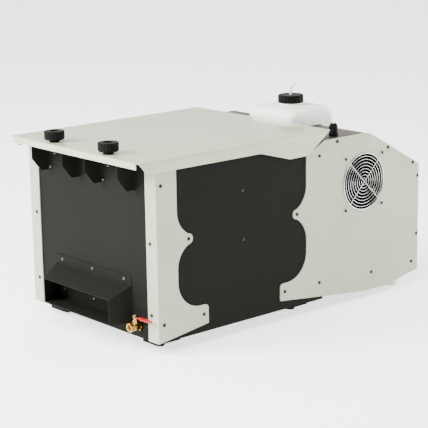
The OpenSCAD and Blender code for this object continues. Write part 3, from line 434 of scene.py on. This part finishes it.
def make_lid():
    """One folded sheet: the top with its front flange and its two side flanges."""
    bm = bmesh.new()
    corner, notch = LID_CORNER, FRONT_FLANGE_HALF
    low = LID_TOP - FRONT_FLANGE_DEPTH
    made = {}

    def vert(x, y, z):
        key = (round(x, 3), round(y, 3), round(z, 3))
        if key not in made:
            made[key] = bm.verts.new(at(x, y, z))
        return made[key]

    def face(points):
        bm.faces.new([vert(*p) for p in points])

    side = [(LID_REAR - corner, LID_TOP), (FLANGE_Y[2], FLANGE_REAR_Z),
            (FLANGE_Y[1], FLANGE_REAR_Z), (FLANGE_Y[0], FLANGE_FRONT_Z),
            (LID_FRONT + FLANGE_SLANT, FLANGE_FRONT_Z), (LID_FRONT, LID_TOP)]
    face([(-LID_HALF, LID_FRONT, LID_TOP), (-notch, LID_FRONT, LID_TOP),
          (notch, LID_FRONT, LID_TOP), (LID_HALF, LID_FRONT, LID_TOP),
          (LID_HALF, LID_REAR - corner, LID_TOP), (LID_HALF - corner, LID_REAR, LID_TOP),
          (corner - LID_HALF, LID_REAR, LID_TOP), (-LID_HALF, LID_REAR - corner, LID_TOP)])
    face([(-notch, LID_FRONT, low), (notch, LID_FRONT, low),
          (notch, LID_FRONT, LID_TOP), (-notch, LID_FRONT, LID_TOP)])
    face([(LID_HALF, y, z) for y, z in reversed(side)])
    face([(-LID_HALF, y, z) for y, z in side])
    bmesh.ops.recalc_face_normals(bm, faces=bm.faces)
    folds = [e for e in bm.edges if len(e.link_faces) == 2]
    bmesh.ops.bevel(bm, geom=folds, offset=LID_FOLD * MM, segments=5, profile=0.5,
                    affect="EDGES")
    if max(bm.faces, key=lambda f: f.calc_area()).normal.z < 0:
        bmesh.ops.reverse_faces(bm, faces=bm.faces)
    bmesh.ops.solidify(bm, geom=bm.faces[:], thickness=LID_SHEET * MM)
    lid = piece("lid_sheet", bm, "lid", "lid_paint", replaces=["lid"], sharp=25)
    bevel = add_bevel(lid, 0.3 * MM)
    bevel.limit_method = "ANGLE"
    bevel.angle_limit = math.radians(50)
    bevel.harden_normals = True


make_lid()

# ---- Turned pieces ----


CORNER_STEPS = 3


def eased(points, radius):
    """A profile with its corners rounded, where radius is what a corner takes off each side."""
    out = [points[0]]
    for before, here, after in zip(points, points[1:], points[2:]):
        here = Vector(here)
        back, ahead = Vector(before) - here, Vector(after) - here
        a = here + back * min(0.45, radius / max(back.length, 1e-6))
        b = here + ahead * min(0.45, radius / max(ahead.length, 1e-6))
        for i in range(CORNER_STEPS + 1):
            f = i / CORNER_STEPS
            p = a * (1 - f) ** 2 + here * (2 * f * (1 - f)) + b * f * f
            out.append((p.x, p.y))
    out.append(points[-1])
    return out


def turned(bm, place, axis, profile, sides=72, shape=None, closed=False):
    """A body turned about an axis through place. The profile holds (radius, height) in mm,
    an end with the radius 0 is closed, and shape(angle, radius, height) may change a radius."""
    along = Vector(axis)
    across = Vector((0, 1, 0)) if abs(along.x) > 0.5 else Vector((1, 0, 0))
    other = along.cross(across)
    rings = []
    for radius, height in profile:
        centre = place + along * height * MM
        if radius == 0:
            rings.append([bm.verts.new(centre)])
            continue
        ring = []
        for k in range(sides):
            a = k * math.tau / sides
            r = (shape(a, radius, height) if shape else radius) * MM
            ring.append(bm.verts.new(centre + r * (math.cos(a) * across + math.sin(a) * other)))
        rings.append(ring)
    skin(bm, rings, closed)


def hexagon(circle_r, low, high, phase=0.0):
    """Cuts a turned body to a hexagon between two heights."""
    flat = circle_r * math.cos(math.pi / 6)

    def shape(a, r, h):
        if not low <= h <= high:
            return r
        turn = (a + phase) % (math.pi / 3) - math.pi / 6
        return min(r, flat / math.cos(turn))
    return shape


WIRE_SIDES = 10


def torus(bm, place, axis, radius, wire, sides):
    """A ring of round wire about an axis."""
    profile = [(radius + wire * math.cos(k * math.tau / WIRE_SIDES),
                wire * math.sin(k * math.tau / WIRE_SIDES)) for k in range(WIRE_SIDES)]
    turned(bm, place, axis, profile, sides, closed=True)


UP = (0, 0, 1)
KNOB_X, KNOB_Y = 85, -16
NECK = 4.2
NECK_RIBS, NECK_RIB_DEPTH = 28, 0.35
GRIP_RIBS, GRIP_RIB_DEPTH = 20, 0.9


def make_knob(body, x):
    """A ribbed grip on a finely ribbed neck, with a recess in its top."""
    def shape(a, r, h):
        if h < NECK - 0.2:
            on_neck = r > 9 and h > 0.3
            return r - (NECK_RIB_DEPTH * (0.5 + 0.5 * math.cos(NECK_RIBS * a)) if on_neck else 0)
        if r < 12:
            return r
        return r - GRIP_RIB_DEPTH * (0.5 + 0.5 * math.cos(GRIP_RIBS * a)) ** 1.4
    bm = bmesh.new()
    outer = eased([(4.1, 0), (9.7, 0), (9.7, NECK), (17.2, NECK), (19.7, NECK + 2.5),
                   (19.7, 20.3), (18.5, 21.3), (9.4, 21.3), (8.6, 20.5), (8.6, 17.3),
                   (3, 17.3)], 0.35)
    turned(bm, at(x, KNOB_Y, LID_TOP), UP, [(0, 12), (4.1, 12)] + outer + [(0, 17)], 240,
           shape)
    piece(body + "_grip", bm, body, "black_plastic", replaces=[body], sharp=50)


make_knob("knob_left", -KNOB_X)
make_knob("knob_right", KNOB_X)


TANK_Y = 524
TANK_HALF = (67.5, 63)
TANK_CORNER = 15
TANK_THICK = 2
TANK_MIDDLE_Z = 300  # the wall's thickness goes up from the bottom and down from the shoulder


def rounded_ring(bm, half, r, z):
    """A ring of vertices along a rounded rectangle around the tank's axis."""
    per_corner = 12
    ring = []
    for i, (sx, sy) in enumerate(((1, 1), (-1, 1), (-1, -1), (1, -1))):
        for k in range(per_corner):
            a = (i + k / (per_corner - 1)) * math.pi / 2
            ring.append(bm.verts.new(at(sx * (half[0] - r) + r * math.cos(a),
                                        TANK_Y + sy * (half[1] - r) + r * math.sin(a), z)))
    return ring


# How far the tank's wall is drawn in, and at which height
TANK_WALL = [(13, 238), (8, 238.8), (4, 241.6), (1.4, 246), (0.2, 252), (0, 258), (0, 300),
             (0, 350), (0, 364), (0.7, 369), (2.4, 373.3), (5.3, 376.7), (9.3, 379), (14, 380.3),
             (22, 381.4), (30, 382.4), (34, 383)]


def make_tank():
    """A bottle with an outer and an inner wall, which meet at its open neck."""
    bm = bmesh.new()

    def wall(t):
        rings = []
        for inset, z in TANK_WALL:
            half = (TANK_HALF[0] - inset - t, TANK_HALF[1] - inset - t)
            r = min(TANK_CORNER + 0.6 * inset, half[1] - 0.5)
            rings.append(rounded_ring(bm, half, r, z + t if z < TANK_MIDDLE_Z else z - t))
        return rings

    def circle(r, z):
        return rounded_ring(bm, (r, r), r - 0.01, z)
    neck = [circle(r, z) for r, z in eased(
        [(26.2, 383.1), (25, 383.6), (25, 386.9), (22, 386.9), (22, 399.2), (19, 399.2),
         (19, 381.2)], 0.6)]
    outer, inner = wall(0), wall(TANK_THICK)
    skin(bm, outer + neck + inner[::-1])
    bm.faces.new(reversed(outer[0]))
    bm.faces.new(inner[0])
    piece("tank_bottle", bm, "tank", "tank_plastic", replaces=["tank"], sharp=60)


make_tank()


CAP_Z = 387
CAP_RIBS, CAP_GROOVE_DEPTH = 20, 0.9


def make_cap():
    """A screw cap with grooves around it, and a bore for the hose."""
    def shape(a, r, h):
        if r < 26 or not 0.5 < h < 14.4:
            return r
        place = (a * CAP_RIBS / math.tau) % 1
        groove = max(0.0, 1 - abs(place - 0.5) / 0.2)
        return r - CAP_GROOVE_DEPTH * min(1.0, 1.6 * groove)
    bm = bmesh.new()
    profile = eased([(22.1, 6), (22.1, 0), (26.3, 0), (26.7, 1), (26.7, 14.2), (25.2, 16.2),
                     (23.6, 16.2), (23.2, 15.8), (5, 15.8), (4.4, 16.2), (2.7, 16.2), (2.7, 13.7),
                     (22.1, 13.7)], 0.3)
    turned(bm, at(0, TANK_Y, CAP_Z), UP, profile, 240, shape, closed=True)
    piece("cap_shell", bm, "tank_cap", "black_plastic", replaces=["tank_cap"], sharp=40)


make_cap()


GLAND_PLACE = (178, 470, 344.4)


def make_gland():
    """The cable gland in the deck that the hose goes through: its body, then its cap nut."""
    place = at(*GLAND_PLACE)
    bm = bmesh.new()
    turned(bm, place, UP, eased([(2.6, -9), (6.3, -9), (6.3, 0), (8.9, 0), (9.6, 0.7), (9.6, 5.3),
                                 (8.9, 6), (8.0, 6), (8.5, 6.6), (8.0, 7.5), (8.5, 8.4),
                                 (8.0, 9.3), (8.5, 10.2), (8.0, 11.1), (8.5, 12), (8.0, 13.6),
                                 (2.6, 13.6)], 0.3), 72, hexagon(9.6, 0, 6), closed=True)
    piece("gland_body", bm, "root", "black_plastic", replaces=["hose_gland"], sharp=40)
    bm = bmesh.new()
    turned(bm, place, UP, eased([(2.6, 13.7), (8.5, 13.7), (9.2, 14.4), (9.2, 21), (8.2, 21.7),
                                 (7.4, 21.9), (6.9, 24.4), (5.2, 26.2), (3.4, 26.3), (2.6, 24)],
                                0.4), 72, hexagon(9.2, 13.7, 21.7), closed=True)
    piece("gland_cap", bm, "root", "black_plastic", replaces=["gland_nut"], sharp=40)


make_gland()

# ---- Fan ----

FAN_Y, FAN_Z = 535, 246
RIGHT = (1, 0, 0)
SCREW_HALF = 52.5  # half the distance between two of the fan's screws
GUARD_RINGS, GUARD_STEP = 9, 6.3
GUARD_X, LOOP_X = 200.7, 199.9
OUTER_WIRE, RING_WIRE, SPOKE_WIRE, LOOP_WIRE = 1.15, 0.5, 0.65, 0.8


def make_guard():
    """Rings of wire, and two wires across them that end in loops around the screws."""
    bm = bmesh.new()
    for i in range(GUARD_RINGS):
        torus(bm, at(GUARD_X, FAN_Y, FAN_Z), RIGHT, 57.35 if i == 0 else 57.6 - GUARD_STEP * i,
              OUTER_WIRE if i == 0 else RING_WIRE, 120)
    reach = SCREW_HALF * math.sqrt(2)
    for a in (45, 135):
        way = Vector((0, math.cos(math.radians(a)), math.sin(math.radians(a))))
        half = [(0, 202), (30, 202), (56, 202), (60, 201.6), (63, 200.6), (66, LOOP_X),
                (reach - 3.1, LOOP_X)]
        path = smooth_path([at(x, FAN_Y, FAN_Z) + way * r * MM
                            for r, x in [(-r, x) for r, x in half[:0:-1]] + half], 3)
        rings = tube_rings(bm, path, SPOKE_WIRE * MM, WIRE_SIDES)
        skin(bm, rings)
        bm.faces.new(reversed(rings[0]))
        bm.faces.new(rings[-1])
        for r in (-reach, reach):
            torus(bm, at(LOOP_X, FAN_Y, FAN_Z) + way * r * MM, RIGHT, 3.2, LOOP_WIRE, 32)
    piece("guard_wires", bm, "root", "guard_chrome", replaces=["fan_guard"])


ROTOR_X = 185
ROOT_R, TIP_R = 19.2, 55.8
BLADE_THICK = 1.2


def make_rotor():
    """The hub, and blades that each are a twisted grid with a thickness."""
    bm = bmesh.new()
    turned(bm, at(0, FAN_Y, FAN_Z), RIGHT,
           [(0, 176)] + eased([(3, 176), (20, 176), (20, 193), (18.6, 194), (12, 194), (11.4, 193.6),
                               (2, 193.6)], 0.6) + [(0, 193.6)], 72)
    blades, spans, chords = 7, 10, 8
    for i in range(blades):
        part = bmesh.new()
        rows = []
        for s in range(spans + 1):
            r = ROOT_R + (TIP_R - ROOT_R) * s / spans
            row = []
            for c in range(chords + 1):
                f = c / chords - 0.5
                width = 15.5 - 3.5 * s / spans
                around = i * math.tau / blades + 0.32 * (s / spans) ** 1.5 + f * (34 / r) * (
                    0.62 + 0.38 * s / spans)
                bulge = 1.6 * (1 - 4 * f * f)
                row.append(part.verts.new(at(
                    ROTOR_X + f * width - bulge * 0.5, FAN_Y + r * math.cos(around),
                    FAN_Z + r * math.sin(around))))
            rows.append(row)
        for a, b in zip(rows, rows[1:]):
            for k in range(chords):
                part.faces.new((a[k], a[k + 1], b[k + 1], b[k]))
        bmesh.ops.solidify(part, geom=part.faces[:], thickness=BLADE_THICK * MM)
        mesh = bpy.data.meshes.new("blade")
        part.to_mesh(mesh)
        part.free()
        bm.from_mesh(mesh)
        bpy.data.meshes.remove(mesh)
    rotor = piece("rotor_blades", bm, "fan", "black_plastic", replaces=["fan_rotor"], sharp=40)
    # Painted shade: the rotor and the fan frame get the darker fan_black, so the fan's inside reads
    # as shaded.
    rotor.data.materials[0] = materials["fan_black"]
    NODES["fan_frame"].data.materials[0] = materials["fan_black"]


make_guard()
make_rotor()

# ---- Drain valve ----

VALVE_X, VALVE_Z, STEM_Y = 141, 47, -9
BACK = (0, 1, 0)


def make_valve():
    """The casting with its threaded bore and bonnet, the two panel nuts and the stem's nut."""
    axis = at(VALVE_X, 0, VALVE_Z)
    stem = at(VALVE_X, STEM_Y, VALVE_Z)
    bm = bmesh.new()
    thread = [(r, -23.3 + 0.8 * i) for i, r in enumerate([5.2, 4.8] * 4)]
    body = eased([(5.7, -24), (8.1, -24), (9.2, -22.9), (9.2, -16.8), (8.5, -16), (7.3, -15.8),
                  (8.2, -14.6), (8.2, -4.2), (7, -2.8), (6.5, -2.6), (6.5, 33.5), (4.2, 33.5)], 0.3)
    turned(bm, axis, BACK, body + [(4.2, -15.4)] + thread[::-1], 72,
           hexagon(9.2, -24, -16, math.pi / 6), closed=True)
    turned(bm, stem, UP, [(0, 6)] + eased([(5.6, 6), (5.4, 8), (5.4, 12.4), (4.9, 13), (4.2, 13.1),
                                           (4.2, 16.6), (3.6, 17.2), (2.6, 17.2)], 0.3)
           + [(2.6, 14), (0, 14)], 48)
    piece("valve_casting", bm, "root", "valve_brass", replaces=["valve_body"], sharp=40)
    bm = bmesh.new()
    for low, high in ((-2.5, 2), (29.5, 33)):
        turned(bm, axis, BACK, eased([(6.55, low), (9.2, low), (10, low + 0.8), (10, high),
                                      (6.55, high)], 0.2), 72,
               hexagon(10, low, high), closed=True)
    piece("valve_nuts", bm, "root", "valve_brass", replaces=["valve_locknuts"], sharp=35)
    bm = bmesh.new()
    turned(bm, stem, UP, eased([(2.55, 19), (4.1, 19), (4.6, 19.5), (4.6, 21.4), (4, 22),
                                (2.55, 22)], 0.2), 48, hexagon(4.6, 19, 22), closed=True)
    piece("stem_nut", bm, "valve_handle", "valve_brass", replaces=["valve_stem_nut"], sharp=35)


STRAP_Z, STRAP_THICK = 17.6, 1.3
GRIP_Z, GRIP_SIDES = 18.25, 20


def make_lever():
    """A steel strap on the stem, and the dipped grip around it."""
    stem = at(VALVE_X, STEM_Y, VALVE_Z)
    bm = bmesh.new()
    outline = [(6 * math.cos(a), 6 * math.sin(a)) for a in
               [math.radians(60 + 240 * k / 16) for k in range(17)]]
    outline += [(16, -3.2), (16, 3.2)]
    low = [bm.verts.new(stem + Vector((x, y, STRAP_Z)) * MM) for x, y in outline]
    bm.faces.new(low)
    grown = bmesh.ops.extrude_face_region(bm, geom=bm.faces[:])
    bmesh.ops.translate(bm, vec=(0, 0, STRAP_THICK * MM),
                        verts=[v for v in grown["geom"] if isinstance(v, bmesh.types.BMVert)])
    strap = piece("lever_strap", bm, "valve_handle", "zinc_steel", sharp=30)
    add_bevel(strap, 0.25 * MM)
    grip = [(9, 2.2, 0.9), (9.6, 3.1, 1.3), (14, 4.4, 1.45), (20, 5.6, 1.5), (27, 6.3, 1.5),
            (33, 6.3, 1.5), (39, 5.5, 1.45), (44, 4.1, 1.35), (47.6, 2.6, 1.2), (49.5, 1.2, 0.8)]
    bm = bmesh.new()
    rings = [[bm.verts.new(stem + Vector((
        x, w * math.cos(k * math.tau / GRIP_SIDES),
        GRIP_Z + h * math.copysign(abs(math.sin(k * math.tau / GRIP_SIDES)) ** 0.6,
                                   math.sin(k * math.tau / GRIP_SIDES)))) * MM)
        for k in range(GRIP_SIDES)] for x, w, h in grip]
    skin(bm, [[bm.verts.new(stem + Vector((8.8, 0, GRIP_Z)) * MM)]] + rings
         + [[bm.verts.new(stem + Vector((50, 0, GRIP_Z)) * MM)]])
    piece("lever_grip", bm, "valve_handle", "lever_red", replaces=["valve_lever"], sharp=60)


make_valve()
make_lever()

# ---- Screws ----


HEAD_WIDTH, HEAD_HEIGHT = 7, 2


def screw_head(bm, seat, out):
    """A pan head with a cross recess, seated at a place and pointing out."""
    out = Vector(out)
    across = Vector((0, 0, 1))
    other = out.cross(across)

    def ring(r, h, sides=28):
        return [bm.verts.new(seat + out * h * MM + r * MM * (
            math.cos(k * math.tau / sides) * across + math.sin(k * math.tau / sides) * other))
            for k in range(sides)]
    rings = [ring(r, h) for r, h in ((3.45, 0), (3.5, 0.5), (3.3, 1.2), (2.9, 1.65), (2.45, 1.9))]
    skin(bm, rings)
    arm, half = 1.75, 0.45
    cross = [(arm, half), (half, half), (half, arm), (-half, arm), (-half, half), (-arm, half),
             (-arm, -half), (-half, -half), (-half, -arm), (half, -arm), (half, -half),
             (arm, -half)]
    turn = math.radians(20)
    loops = []
    for scale, h in ((1.0, 1.98), (0.62, 0.7)):
        loops.append([bm.verts.new(seat + out * h * MM + scale * MM * (
            (x * math.cos(turn) - y * math.sin(turn)) * across
            + (x * math.sin(turn) + y * math.cos(turn)) * other)) for x, y in cross])
    edges = [bm.edges.get((a, b)) for a, b in zip(rings[-1], rings[-1][1:] + rings[-1][:1])]
    edges += [bm.edges.new((a, b)) for a, b in zip(loops[0], loops[0][1:] + loops[0][:1])]
    bmesh.ops.triangle_fill(bm, use_beauty=True, edges=edges)
    skin(bm, loops)
    bm.faces.new(loops[1])
    bm.faces.new(reversed(rings[0]))


def components(obj):
    """The boxes of a mesh's separate solids."""
    bm = bmesh.new()
    bm.from_mesh(obj.data)
    bmesh.ops.remove_doubles(bm, verts=bm.verts, dist=1e-6)
    left = set(bm.verts)
    boxes = []
    while left:
        stack = [left.pop()]
        low, high = stack[0].co.copy(), stack[0].co.copy()
        while stack:
            v = stack.pop()
            low = Vector(map(min, low, v.co))
            high = Vector(map(max, high, v.co))
            for e in v.link_edges:
                w = e.other_vert(v)
                if w in left:
                    left.remove(w)
                    stack.append(w)
        boxes.append((low, high))
    bm.free()
    return sorted(boxes, key=lambda b: tuple(round(c, 5) for c in b[0] + b[1]))


def make_screws(node, name, slot):
    """Detailed heads in place of a screw node's plain ones, facing away from the middle."""
    bm = bmesh.new()
    for low, high in components(NODES[node]):
        size = high - low
        head = HEAD_WIDTH * MM
        axis = min(range(3), key=lambda i: 0 if abs(size[i] - head) > 0.3 * MM else 1)
        out = Vector((0, 0, 0))
        centre = (low + high) / 2
        out[axis] = 1.0 if centre[axis] > 0 else -1.0
        seat = centre.copy()
        seat[axis] = (high[axis] if out[axis] > 0 else low[axis]) - out[axis] * HEAD_HEIGHT * MM
        screw_head(bm, seat, out)
    piece(name, bm, "root", slot, replaces=[node], sharp=35)


make_screws("screws_dark", "dark_screw_heads", "screw_dark")
make_screws("screws_bright", "bright_screw_heads", "zinc_steel")

# ---- Feet ----


FOOT_X, FOOT_Y = 172, 652


def make_feet():
    """The two cream rubber feet under the housing's rear."""
    bm = bmesh.new()
    for x in (-FOOT_X, FOOT_X):
        turned(bm, at(x, FOOT_Y, 0), UP,
               [(0, 0.6), (5, 0.6)] + eased([(5.4, 0), (8.4, 0), (9.5, 3), (9.3, 17), (9.3, 24)], 0.7)
               + [(0, 24)], 48)
    piece("housing_feet", bm, "root", "foot_cream", replaces=["rear_feet"], sharp=40)


make_feet()

# ---- Rear controls ----

REAR_Y = 702
DISPLAY_X, DISPLAY_Z = -60, 190
INLET_X, INLET_Z = -140, 100


def rear_block(bm, x, z, half, r, layers):
    """A rounded block that faces back, through layers of (how far it is drawn in, y)."""
    per_corner = 6
    rings = []
    for inset, y in layers:
        bend = max(r - inset, 0.1)
        ring = []
        for i, (sx, sz) in enumerate(((1, 1), (-1, 1), (-1, -1), (1, -1))):
            for k in range(per_corner):
                a = (i + k / (per_corner - 1)) * math.pi / 2
                ring.append(bm.verts.new(at(
                    x + sx * (half[0] - inset - bend) + bend * math.cos(a), REAR_Y + y,
                    z + sz * (half[1] - inset - bend) + bend * math.sin(a))))
        rings.append(ring)
    skin(bm, rings)
    bm.faces.new(reversed(rings[0]))
    bm.faces.new(rings[-1])


def make_controls():
    """The display's glass, the power inlet's pins and the three buttons' caps."""
    bm = bmesh.new()
    rear_block(bm, DISPLAY_X + 20, DISPLAY_Z, (17.85, 9.85), 1.0,
               [(0, 1.85), (0, 2.5), (0.25, 2.8), (0.8, 2.95)])
    glass = piece("display_glass", bm, "root", "black_plastic")
    glass.data.materials[0] = materials["display_glass"]
    bm = bmesh.new()
    for x, z in ((-7, 1), (7, 1), (0, 4.6)):
        rear_block(bm, INLET_X + x, INLET_Z + z, (1.08, 2.08), 0.5,
                   [(0, -14.9), (0, -2.8), (0.3, -2.1), (0.75, -1.8)])
    piece("inlet_pins", bm, "root", "zinc_steel")
    for body, x in (("button_menu", -32), ("button_up", -19), ("button_down", -6)):
        bm = bmesh.new()
        dome = eased([(2, -5.8), (3.85, -5.8), (3.95, 3.7), (3.3, 4.6), (1.8, 4.9)], 0.3)
        turned(bm, at(DISPLAY_X + x, REAR_Y, DISPLAY_Z), BACK,
               [(0, -5.8)] + dome + [(0, 4.97)], 48)
        piece(body + "_cap", bm, body, "button_grey", replaces=[body])


make_controls()

# ---- Light and floor ----


FLOOR_HALF = 14
FLOOR_GLOW = 1.9


def area_light(name, place, target, size, power):
    data = bpy.data.lights.new(name, "AREA")
    data.shape = "RECTANGLE"
    data.size, data.size_y = size
    data.energy = power
    obj = bpy.data.objects.new(name, data)
    obj.location = place
    aim = Vector(target) - Vector(place)
    obj.rotation_euler = aim.to_track_quat("-Z", "Y").to_euler()
    collection.objects.link(obj)


def make_stage():
    """A white floor, the pale dome and three soft lights."""
    bm = bmesh.new()
    bm.faces.new([bm.verts.new((x * FLOOR_HALF, y * FLOOR_HALF, 0))
                  for x, y in ((-1, -1), (1, -1), (1, 1), (-1, 1))])
    mesh = bpy.data.meshes.new("floor")
    bm.to_mesh(mesh)
    bm.free()
    n = Nodes("floor_white")
    mesh.materials.append(n.set(Base_Color=(0.9, 0.9, 0.9), Roughness=0.7,
                                Emission_Color=(1, 1, 1), Emission_Strength=FLOOR_GLOW))
    floor = bpy.data.objects.new("floor", mesh)
    collection.objects.link(floor)
    make_world()
    area_light("key", (-1.4, -3.0, 2.2), (0, -0.1, 0.2), (1.6, 1.6), 420)
    area_light("top", (0.8, -1.2, 2.5), (0, 0, 0.2), (1.2, 1.2), 80)
    area_light("side", (0.85, 1.4, 0.7), (0.15, 0.33, 0.15), (1.4, 1.1), 28)


def make_world():
    """A pale dome, brighter near the horizon and dimmer towards +X."""
    world = bpy.data.worlds.new("studio")
    world.use_nodes = True
    tree = world.node_tree
    background = tree.nodes["Background"]
    background.inputs["Color"].default_value = (1, 1, 1, 1)
    place = tree.nodes.new("ShaderNodeTexCoord")
    parts = tree.nodes.new("ShaderNodeSeparateXYZ")
    tree.links.new(place.outputs["Generated"], parts.inputs["Vector"])
    product = tree.nodes.new("ShaderNodeMath")
    product.operation = "MULTIPLY"
    for i, (axis, low, high, to_low, to_high) in enumerate(
            (("Z", 0.05, 0.6, 1.3, 1.5), ("X", -0.1, 0.7, 1.0, 0.1))):
        spread = tree.nodes.new("ShaderNodeMapRange")
        for name, number in (("From Min", low), ("From Max", high),
                             ("To Min", to_low), ("To Max", to_high)):
            spread.inputs[name].default_value = number
        tree.links.new(parts.outputs[axis], spread.inputs["Value"])
        tree.links.new(spread.outputs["Result"], product.inputs[i])
    tree.links.new(product.outputs["Value"], background.inputs["Strength"])
    bpy.context.scene.world = world


make_stage()
